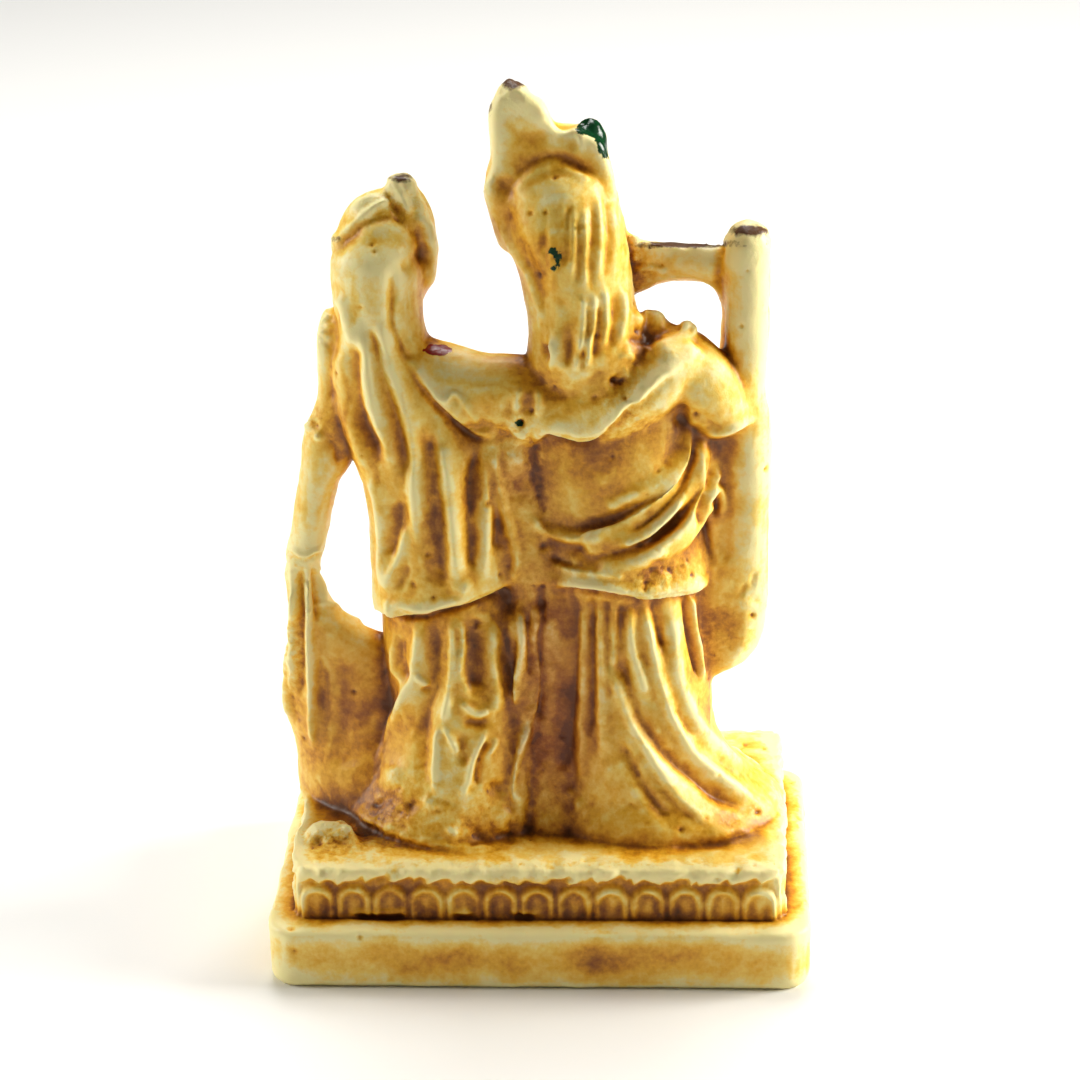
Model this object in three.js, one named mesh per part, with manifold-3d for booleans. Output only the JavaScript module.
// A small cast idol of two standing figures on one plinth, about 124 mm tall.
// The flute player stands on the left seen from the front, his partner on the right; both face -Y.
// Figures and plinth came out of one mould, so the whole idol is one solid, +Z up,
// with its origin at the middle of the plinth's underside. Millimetres.
import * as THREE from "three";
import { mergeVertices } from "three/addons/utils/BufferGeometryUtils.js";
import Module from "manifold-3d";

const wasm = await Module();
wasm.setup();

// Plinth
const slabWidth = 76;
const slabDepth = 48;
const slabHeight = 9.2;
const slabCorner = 4;
const tierHeight = 8.3;
const ledge = 3.8; // how far the tier stands in from the slab, all round
const tierCorner = 1.5;
const edgeRounding = 0.9;

// Petal frieze round the tier, under a scalloped lip
const petalPitch = 5.1;
const petalWidth = 4.2;
const petalHeight = 4.4;
const petalFoot = 0.5; // clear band under the petals
const lipHeight = 1.5;
const lipScallop = 0.8; // how far each scallop hangs below the lip's edge
const relief = 0.9; // how far petals and lip stand proud of the tier

// Figures. Their stations and fold paths below are drawn at one height and scaled to the real one.
const figureHeight = 106.5; // from the tier's top to the tip of the crown
const drawnHeight = 106.5;
const sunk = 1.2; // how far skirts run down into the tier, at the drawn height

const tierTop = slabHeight + tierHeight;
const figureScale = figureHeight / drawnHeight;

// Uniform Catmull-Rom interpolation of rows of numbers; t runs from 0 to 1 along them.
function alongRows(rows, t) {
  const place = Math.min(t * (rows.length - 1), rows.length - 1 - 1e-9);
  const i = Math.floor(place);
  const f = place - i;
  const row = (k) => rows[Math.max(0, Math.min(rows.length - 1, k))];
  return rows[i].map((_, n) => {
    const [p, q, r, s] = [row(i - 1)[n], row(i)[n], row(i + 1)[n], row(i + 2)[n]];
    return q + 0.5 * f * (r - p + f * (2 * p - 5 * q + 4 * r - s + f * (3 * (q - r) + s - p)));
  });
}

// The corners of a ring as [angle in degrees, rise in mm]. Angles run from +X over the back, +Y, to -X.
function plainRing(backCorners, frontCorners) {
  const back = Array.from({ length: backCorners }, (_, k) => [(180 * k) / backCorners, 0]);
  const front = Array.from({ length: frontCorners }, (_, k) => [180 + (180 * k) / frontCorners, 0]);
  return [...back, ...front];
}

// A ring in folds: a flat-topped ridge at each of the given angles, with one sharp valley between neighbours.
function foldedRing(ridges, high) {
  return ridges.flatMap((ridge, i) => {
    const before = (ridge - (i > 0 ? ridges[i - 1] : ridges[ridges.length - 1] - 360)) / 2;
    const after = ((i + 1 < ridges.length ? ridges[i + 1] : ridges[0] + 360) - ridge) / 2;
    return [[ridge - 0.5 * before, high], [ridge + 0.5 * after, high], [ridge + after, 0]];
  });
}

// A closed skin of rings round a centre line. Each station is [x, y, z, half width, half depth, turn, tilt]:
// turn is the ring's turn about Z in degrees, tilt the rise of a level ring per mm towards +X.
// A level form keeps its rings horizontal; the others turn square to the centre line.
// Growth gives the share of the ring's rises used at the first and at the last station.
function form(stations, { ring = plainRing(6, 6), along = 6, level = false, round = true, growth = [1, 1] } = {}) {
  const rows = stations.map((s) => [...s, 0, 0].slice(0, 7));
  const tangentAt = (t) => {
    if (level) return new THREE.Vector3(0, 0, 1);
    const [a, b] = [alongRows(rows, Math.max(0, t - 0.01)), alongRows(rows, Math.min(1, t + 0.01))];
    return new THREE.Vector3(b[0] - a[0], b[1] - a[1], b[2] - a[2]).normalize();
  };
  const points = [];
  const addRing = (t, shrink, push) => {
    const [x, y, z, halfWidth, halfDepth, turn, tilt] = alongRows(rows, t);
    const tangent = tangentAt(t);
    const side = new THREE.Vector3(0, 1, 0).cross(tangent).normalize();
    const depth = tangent.clone().cross(side);
    const centre = new THREE.Vector3(x, y, z).addScaledVector(tangent, push * Math.min(halfWidth, halfDepth));
    const grown = growth[0] + (growth[1] - growth[0]) * t;
    for (const [angle, rise] of ring) {
      const direction = new THREE.Vector2(
        halfWidth * Math.cos(THREE.MathUtils.degToRad(angle)),
        halfDepth * Math.sin(THREE.MathUtils.degToRad(angle)),
      );
      direction.setLength(shrink * (direction.length() + grown * rise));
      direction.rotateAround(new THREE.Vector2(), THREE.MathUtils.degToRad(turn));
      const point = centre.clone().addScaledVector(side, direction.x).addScaledVector(depth, direction.y);
      point.z += tilt * (point.x - centre.x);
      points.push(point);
    }
  };
  const caps = round ? [[0, 0.85], [0.8, 0.5]] : [[0, 0]];
  for (const [shrink, push] of caps) addRing(0, shrink, -push);
  for (let j = 0; j <= along; j++) addRing(j / along, 1, 0);
  for (const [shrink, push] of [...caps].reverse()) addRing(1, shrink, push);
  const around = ring.length;
  const faces = [];
  for (let j = 0; (j + 1) * around < points.length; j++) {
    for (let k = 0; k < around; k++) {
      const [a, b] = [j * around + k, j * around + ((k + 1) % around)];
      faces.push(a, b, b + around, a, b + around, a + around);
    }
  }
  const geometry = new THREE.BufferGeometry().setFromPoints(points);
  geometry.setIndex(faces);
  return geometry;
}

// An upright plate: an outline of [x, z] points, rounded over towards its back and front faces.
function plate(outline, { middle, halfDepth, rounding }) {
  const shape = new THREE.Shape(outline.map(([x, z]) => new THREE.Vector2(x, z)));
  const geometry = new THREE.ExtrudeGeometry(shape, {
    depth: 2 * (halfDepth - rounding),
    bevelEnabled: true,
    bevelThickness: rounding,
    bevelSize: rounding,
    bevelOffset: -rounding,
    bevelSegments: 2,
  });
  geometry.translate(0, 0, -(halfDepth - rounding));
  geometry.rotateX(Math.PI / 2);
  return geometry.translate(0, middle, 0);
}

// A block with rounded upright corners and a rounded top and bottom edge.
function block(width, depth, height, corner, low) {
  const [w, d] = [width / 2, depth / 2];
  const shape = new THREE.Shape()
    .moveTo(-w + corner, -d)
    .lineTo(w - corner, -d)
    .quadraticCurveTo(w, -d, w, -d + corner)
    .lineTo(w, d - corner)
    .quadraticCurveTo(w, d, w - corner, d)
    .lineTo(-w + corner, d)
    .quadraticCurveTo(-w, d, -w, d - corner)
    .lineTo(-w, -d + corner)
    .quadraticCurveTo(-w, -d, -w + corner, -d);
  const geometry = new THREE.ExtrudeGeometry(shape, {
    depth: height - 2 * edgeRounding,
    bevelEnabled: true,
    bevelThickness: edgeRounding,
    bevelSize: edgeRounding,
    bevelOffset: -edgeRounding,
    bevelSegments: 1,
    curveSegments: 2,
  });
  return geometry.translate(0, 0, low + edgeRounding);
}

// One petal: an arch standing on the frieze's foot.
function petal() {
  const half = petalWidth / 2;
  const shape = new THREE.Shape().moveTo(-half, 0).lineTo(half, 0);
  shape.absarc(0, petalHeight - half, half, 0, Math.PI);
  const geometry = new THREE.ExtrudeGeometry(shape, { depth: 2 * relief, bevelEnabled: false, curveSegments: 3 });
  geometry.translate(0, petalFoot, -relief);
  return geometry.rotateX(Math.PI / 2);
}

// The lip over one face of the frieze: a strip whose lower edge hangs in one scallop to a petal.
function lip(run, count) {
  const shape = new THREE.Shape().moveTo(-run / 2, 0);
  for (let i = 0; i < count; i++) {
    const left = (i / count - 0.5) * run;
    shape.lineTo(left + (0.3 * run) / count, -lipHeight - lipScallop);
    shape.lineTo(left + (0.7 * run) / count, -lipHeight - lipScallop);
    shape.lineTo(left + run / count, -lipHeight);
  }
  shape.lineTo(run / 2, 0);
  const geometry = new THREE.ExtrudeGeometry(shape, { depth: 2 * relief, bevelEnabled: false });
  geometry.translate(0, tierHeight - edgeRounding, -relief);
  return geometry.rotateX(Math.PI / 2);
}

// Petals and lips on the four faces of the tier, spaced evenly between its corners.
function frieze() {
  const faces = [
    { length: slabWidth - 2 * ledge, out: slabDepth / 2 - ledge, turns: [0, Math.PI] },
    { length: slabDepth - 2 * ledge, out: slabWidth / 2 - ledge, turns: [Math.PI / 2, -Math.PI / 2] },
  ];
  const pieces = [];
  for (const { length, out, turns } of faces) {
    const run = length - tierCorner;
    const count = Math.max(1, Math.floor(run / petalPitch));
    for (const turn of turns) {
      pieces.push(lip(run, count).translate(0, out, slabHeight).rotateZ(turn));
      for (let i = 0; i < count; i++) {
        pieces.push(petal().translate((i - (count - 1) / 2) * (run / count), out, slabHeight).rotateZ(turn));
      }
    }
  }
  return pieces;
}

// Where the folds stand round each garment, in degrees, and how high they are in mm.
const playerFolds = foldedRing([24, 46, 66, 86, 108, 131, 156, 190, 230, 262, 295, 330], 1.7);
const pleats = foldedRing([24, 47, 69, 92, 117, 144, 172, 205, 238, 270, 302, 334], 1.7);
const veilFolds = foldedRing([28, 52, 74, 96, 118, 143, 170, 240, 320], 1.5);
const wingFolds = foldedRing([20, 55, 90, 125, 160, 215, 270, 325], 0.8);
const locks = foldedRing([15, 45, 72, 98, 124, 152, 200, 320], 0.9);

const swept = { level: true, round: false };

// The flute player. Stations are in mm at the drawn height, z up from the tier's top.
const playerSkirt = form(
  [
    [-16.5, 0.8, -sunk, 17.6, 13.4],
    [-16.2, 1.0, 1.5, 16.6, 12.8],
    [-14.3, 1.2, 6, 13, 11],
    [-12.7, 1.1, 12, 11.2, 9.6],
    [-12.1, 0.8, 20, 11.2, 8.4],
    [-11.2, 0.6, 28, 11.2, 7.6],
    [-10.9, 0.4, 35, 11.4, 7.2],
    [-10.9, 0.4, 39, 11.2, 7],
  ],
  { ring: playerFolds, along: 6, growth: [1, 0.7], ...swept },
);
const playerSash = form(
  [
    [-11.2, 0.4, 35, 11.2, 7.8, 0, 0.06],
    [-11.3, 0.4, 36.2, 12.2, 8.6, 0, 0.06],
    [-11.4, 0.4, 38.2, 12.4, 8.8, 0, 0.04],
    [-11.6, 0.4, 41, 12, 8.2],
    [-11.5, 0.4, 44.5, 11, 7],
  ],
  { ring: plainRing(12, 8), along: 4, ...swept },
);
const playerTorso = form(
  [
    [-11.2, 0.6, 40, 10.8, 6.8],
    [-10.7, 0.4, 45, 10.4, 6.7],
    [-10.3, 0.4, 50, 10.2, 6.7],
    [-10.5, 0.4, 57, 10.8, 7],
    [-10.8, 0.3, 64, 11.2, 7],
    [-10.6, 0.2, 69, 9.8, 6],
    [-9.4, 0, 73, 6, 4.8],
  ],
  { ring: plainRing(10, 6), along: 6, ...swept },
);
const swags = [
  [
    [-22.2, 1.5, 60, 1.8, 1.6],
    [-21.8, 2.6, 54, 2, 1.8],
    [-19, 5, 49.2, 2, 1.8],
    [-14, 7, 45.2, 1.9, 1.6],
    [-8, 7.6, 43.4, 1.5, 1.2],
  ],
  [
    [-24.2, 0.6, 57, 1.8, 1.6],
    [-23.4, 2.2, 50, 2, 1.8],
    [-20.4, 5, 44.6, 2, 1.8],
    [-15.5, 7.6, 41.8, 1.9, 1.6],
    [-10, 8.4, 40.4, 1.5, 1.2],
  ],
  [
    [-20.4, 2.4, 64, 1.4, 1.4],
    [-19.6, 3.6, 57, 1.6, 1.4],
    [-16.6, 6, 52.2, 1.6, 1.3],
    [-11, 6.8, 49, 1.3, 1],
  ],
].map((stations) => form(stations, { ring: plainRing(5, 3), along: 7 }));
const playerNeck = form(
  [
    [-9, 0, 68, 4, 4],
    [-6.5, -1, 80, 3.6, 3.6],
  ],
  { ring: plainRing(4, 5), along: 1, round: false },
);
const playerHead = form(
  [
    [-6.6, -2.2, 75.8, 2.8, 3],
    [-6.3, -1.8, 77.8, 4.6, 5.2],
    [-5.6, -1.2, 81.5, 6.2, 6.6],
    [-4.9, -0.8, 86, 6.7, 7],
    [-4.2, -0.6, 90, 6.2, 6.4],
  ],
  { ring: plainRing(3, 8), along: 4 },
);
const playerHair = form(
  [
    [-4, 2.4, 93, 6.6, 4.6],
    [-4.2, 2.2, 88.5, 8, 5.5],
    [-5.4, 2.2, 82, 7.8, 5.6],
    [-6.2, 2.5, 77, 6.9, 5.1],
    [-7.4, 3.2, 72.5, 6.2, 4.4],
    [-7.8, 4.4, 68.5, 4.6, 3],
  ],
  { ring: locks, along: 6, growth: [0.2, 1] },
);
const playerCrown = form(
  [
    [-4, -0.5, 84, 8, 6.6],
    [-3.4, -0.8, 89, 8.8, 6],
    [-2.9, -0.9, 93, 8.5, 5],
    [-2.9, -0.9, 97, 7.5, 3.8],
    [-3, -0.9, 100, 6.6, 2.6],
  ],
  { ring: plainRing(6, 6), along: 4, ...swept },
);
const crownTip = form(
  [
    [0.6, -0.8, 94, 4.6, 3.4],
    [0.7, -0.8, 99.5, 4.1, 2.9],
    [1, -0.8, 103, 3.4, 2.4],
    [1.4, -0.8, 105.14, 1.9, 1.6],
  ],
  { ring: plainRing(3, 4), along: 2, level: true },
);
const crownKnob = form(
  [
    [-7.6, -0.8, 96, 3, 2.8],
    [-8, -0.8, 99, 2.6, 2.2],
    [-8.3, -0.8, 100, 1.6, 1.5],
  ],
  { ring: plainRing(4, 4), along: 3, level: true },
);
const fluteArm = form(
  [
    [-14.5, 1.2, 67.5, 5.2, 5],
    [-19, 1.6, 67.6, 5.4, 5.2],
    [-23, 2.2, 64.6, 5.2, 4.8],
    [-25.6, 1.8, 60.8, 4.2, 4],
  ],
  { ring: plainRing(8, 4), along: 5 },
);
const fluteForearm = form(
  [
    [-27, 0.5, 61.5, 3.4, 3.4],
    [-28, -4, 66, 3, 3],
    [-28.2, -6.2, 73, 2.6, 2.6],
    [-27.6, -7, 79, 2.6, 2.4],
  ],
  { ring: plainRing(4, 5), along: 3 },
);
const fluteBar = form(
  [
    [-6, -6.8, 79.6, 2, 2],
    [-12, -4.6, 80.1, 3.3, 3],
    [-16, -3.4, 80.6, 2.6, 2.5],
    [-21, -2.4, 80.9, 2.3, 2.4],
    [-25, -1.8, 80.3, 2.7, 2.5],
    [-28, -1.2, 79.6, 3.6, 2.6],
  ],
  { ring: plainRing(5, 5), along: 6, round: false },
);
const post = form(
  [
    [-29.1, -0.2, 84.6, 3, 3],
    [-29.1, -0.2, 83.4, 3.2, 3.3],
    [-29.1, -0.2, 72, 3, 3.2],
    [-28.8, -0.2, 62.5, 2.9, 3.2],
    [-29.2, -0.4, 57, 3.3, 3.4],
    [-29.1, -0.6, 42, 3.1, 3.2],
    [-28.8, -0.8, 28, 3, 3],
    [-27.2, -1, 23.2, 2.4, 2.4],
  ],
  { ring: plainRing(6, 5), along: 7, round: false },
);
const postWeb = plate(
  [
    [-18, 62],
    [-28, 62],
    [-30, 40],
    [-30, 26],
    [-27.5, 21.2],
    [-23.3, 18.8],
    [-18, 18],
  ],
  { middle: -0.6, halfDepth: 2.4, rounding: 0.6 },
);
const shawl = form(
  [
    [-21.4, 3, 71, 2.8, 2.8],
    [-19.5, 4, 69.2, 4.2, 3.6],
    [-16, 4.9, 66, 4.6, 4],
    [-12, 5.2, 63.7, 4.8, 4],
    [-8, 5, 62.7, 4.9, 4.1],
    [-4, 4.4, 63.2, 5, 4.2],
    [1, 3.6, 64.2, 5.3, 4.6],
    [7, 3.2, 64.6, 5.2, 4.7],
    [12, 2.8, 66.4, 4.8, 4.6],
    [16.5, 2.5, 68.5, 4, 4.2],
  ],
  { ring: plainRing(7, 4), along: 11, round: false },
);
const garland = form(
  [
    [-15, -3, 68, 1.6, 1.6],
    [-17, -6.4, 62, 1.7, 1.7],
    [-16, -7.6, 52, 1.8, 1.8],
    [-13, -8.8, 42, 1.9, 1.9],
    [-10.5, -9.2, 38.6, 2, 2],
    [-8, -8.8, 42, 1.9, 1.9],
    [-4.6, -7.4, 52, 1.8, 1.8],
    [-2.6, -6, 62, 1.7, 1.7],
    [-3.6, -3, 68, 1.6, 1.6],
  ],
  { ring: plainRing(3, 4), along: 10, round: false },
);

// The partner.
const partnerSkirt = form(
  [
    [14, 0.8, -sunk, 14.2, 13.8],
    [13.4, 1, 2.5, 13, 12.8],
    [11.6, 1.2, 8, 10.8, 11.2],
    [10.3, 1, 15.5, 9.9, 9.7],
    [10.6, 0.8, 23, 10.4, 8.3],
    [10.9, 0.6, 30, 10.4, 7.3],
    [11.5, 0.4, 38, 9, 6.2],
  ],
  { ring: pleats, along: 6, growth: [1.1, 0.6], ...swept },
);
const partnerTorso = form(
  [
    [12.5, -0.5, 34, 8.5, 6.4],
    [14.5, -0.8, 41, 7, 5.6],
    [16.5, -1, 50, 6.8, 5.6],
    [18, -1.2, 56, 7.6, 6.4],
    [19, -0.8, 62, 8.2, 5.2],
    [19.2, -0.3, 68, 5.5, 4],
  ],
  { ring: plainRing(4, 10), along: 5, ...swept },
);
const partnerVeil = form(
  [
    [20, 1.6, 88.9, 1.6, 1.6],
    [20, 1.6, 87.6, 4.3, 4.1],
    [20.1, 1.8, 84, 6, 5.7],
    [20.4, 1.8, 78.5, 5.9, 5.8],
    [20, 2.2, 73, 5.8, 5],
    [18.9, 2.6, 67, 6.9, 5],
    [16.6, 2.8, 61.5, 8.6, 5],
    [14.9, 2.8, 56, 9.5, 5.1, 0, -0.05],
    [13.4, 2.8, 50, 9.2, 5.2, 0, -0.12],
    [12.6, 2.8, 43, 9.7, 5.6, 0, -0.2],
    [12.4, 2.8, 34.4, 9.8, 6, 0, -0.26],
  ],
  { ring: veilFolds, along: 11, growth: [0, 1], ...swept },
);
const partnerNeck = form(
  [
    [19, -0.2, 65, 3.8, 3.8],
    [19.2, -0.8, 76, 3.4, 3.4],
  ],
  { ring: plainRing(4, 5), along: 1, round: false },
);
const partnerHead = form(
  [
    [19, -2.8, 73.4, 2.6, 2.8],
    [19.2, -2.2, 75.2, 4.6, 4.8],
    [19.5, -1.4, 78.6, 6.2, 6.3],
    [19.6, -1, 82, 6.6, 6.7],
    [19.4, -0.6, 86, 6, 6],
  ],
  { ring: plainRing(3, 8), along: 4 },
);
const partnerCrown = form(
  [
    [19, -1, 80, 6.6, 4.6],
    [19.4, -1, 84, 7.1, 4.2],
    [18.3, -1, 87.5, 5.7, 3.6],
    [17.2, -1, 90.4, 3.6, 2.6],
    [16.8, -1, 92.6, 1.8, 1.5],
  ],
  { ring: plainRing(5, 5), along: 4, level: true },
);
const partnerArm = form(
  [
    [24.6, 0, 74.5, 3.4, 3],
    [25.4, 0.2, 70, 3.7, 3.6],
    [26.1, 0.4, 62, 3.5, 3.6],
    [27.7, 0.6, 57, 4, 3.4],
    [28.7, 0.6, 53.5, 3.6, 3.3],
    [29.9, 0.5, 50, 2.8, 3.2],
    [31.9, 0.2, 41, 2.6, 2.9],
    [32.9, -0.3, 37, 2.6, 2.4],
    [33.6, -0.6, 34, 2.2, 2],
  ],
  { ring: plainRing(6, 4), along: 8, round: false },
);
const skirtWing = form(
  [
    [33.2, -0.4, 37, 2, 2],
    [32.2, -0.4, 31, 2.8, 2.2],
    [30.2, -0.3, 27.4, 4.6, 2.3],
    [27.8, -0.3, 24.4, 7.6, 2.5],
    [27.6, -0.5, 20, 9, 2.8, -8],
    [27.9, -0.8, 13, 9.8, 3.2, -18],
    [27.4, -0.4, 8, 9.8, 3.6, -28],
    [27, 0.2, 4, 10.2, 4, -34],
    [26.8, 0.5, -sunk, 11, 4.6, -38],
  ],
  { ring: wingFolds, along: 8, growth: [0, 1.2], ...swept },
);

// Mould material left between the figures, from the plinth up to the joined arms.
const infill = form(
  [
    [0.6, 0, -sunk, 4.4, 7.4],
    [0.6, 0.2, 20, 4.4, 5.2],
    [1, 0.4, 40, 4.6, 4.4],
    [1.5, 0.2, 60, 5, 4.2],
  ],
  { ring: plainRing(6, 4), along: 4, ...swept },
);

// Toes showing under the hems at the front, and the noses.
const small = { ring: plainRing(3, 4), along: 1 };
const details = [
  ...[-20, -11, 9, 17].map((x) => form([[x, -11, -0.6, 2.4, 4.4], [x, -11.4, 0.8, 1.9, 3.6]], { ...small, level: true })),
  form([[-5.1, -7.6, 84.6, 0.7, 0.6], [-5.4, -8.6, 81.4, 1.2, 0.9]], small),
  form([[19.5, -7.6, 81.6, 0.7, 0.6], [19.4, -8.4, 78.6, 1.1, 0.9]], small),
];

const figures = [
  playerSkirt,
  playerSash,
  playerTorso,
  ...swags,
  playerNeck,
  playerHead,
  playerHair,
  playerCrown,
  crownTip,
  crownKnob,
  fluteArm,
  fluteForearm,
  fluteBar,
  post,
  postWeb,
  shawl,
  garland,
  partnerSkirt,
  partnerTorso,
  partnerVeil,
  partnerNeck,
  partnerHead,
  partnerCrown,
  partnerArm,
  skirtWing,
  infill,
  ...details,
].map((geometry) => geometry.scale(figureScale, figureScale, figureScale).translate(0, 0, tierTop));

const plinth = [
  block(slabWidth, slabDepth, slabHeight, slabCorner, 0),
  block(slabWidth - 2 * ledge, slabDepth - 2 * ledge, tierHeight + edgeRounding, tierCorner, slabHeight - edgeRounding),
  ...frieze(),
];

// A closed mesh as a manifold-3d solid, turned right way out if its rings run the other way round.
function solidOf(geometry) {
  const bare = geometry.clone();
  bare.deleteAttribute("normal");
  bare.deleteAttribute("uv");
  const merged = mergeVertices(bare, 1e-4);
  const corners = merged.index.array;
  const kept = [];
  for (let i = 0; i < corners.length; i += 3) {
    const [a, b, c] = [corners[i], corners[i + 1], corners[i + 2]];
    if (a !== b && b !== c && c !== a) kept.push(a, b, c);
  }
  const vertProperties = merged.attributes.position.array;
  const wrap = (triVerts) => new wasm.Manifold(new wasm.Mesh({ numProp: 3, vertProperties, triVerts }));
  const made = wrap(new Uint32Array(kept));
  return made.volume() > 0 ? made : wrap(new Uint32Array(kept.reverse()));
}

const casting = [...plinth, ...figures].map(solidOf).reduce((sum, solid) => sum.add(solid));

const shell = casting.getMesh();
const surface = new THREE.BufferGeometry();
surface.setAttribute("position", new THREE.BufferAttribute(new Float32Array(shell.vertProperties), 3));
surface.setIndex(new THREE.BufferAttribute(new Uint32Array(shell.triVerts), 1));
surface.computeVertexNormals();

const castIvory = new THREE.MeshStandardMaterial({ color: "#ead9a6", roughness: 0.45, metalness: 0 });
const idol = new THREE.Mesh(surface, castIvory);
idol.name = "idol_casting";

const part = new THREE.Group();
part.add(idol);

export default part;
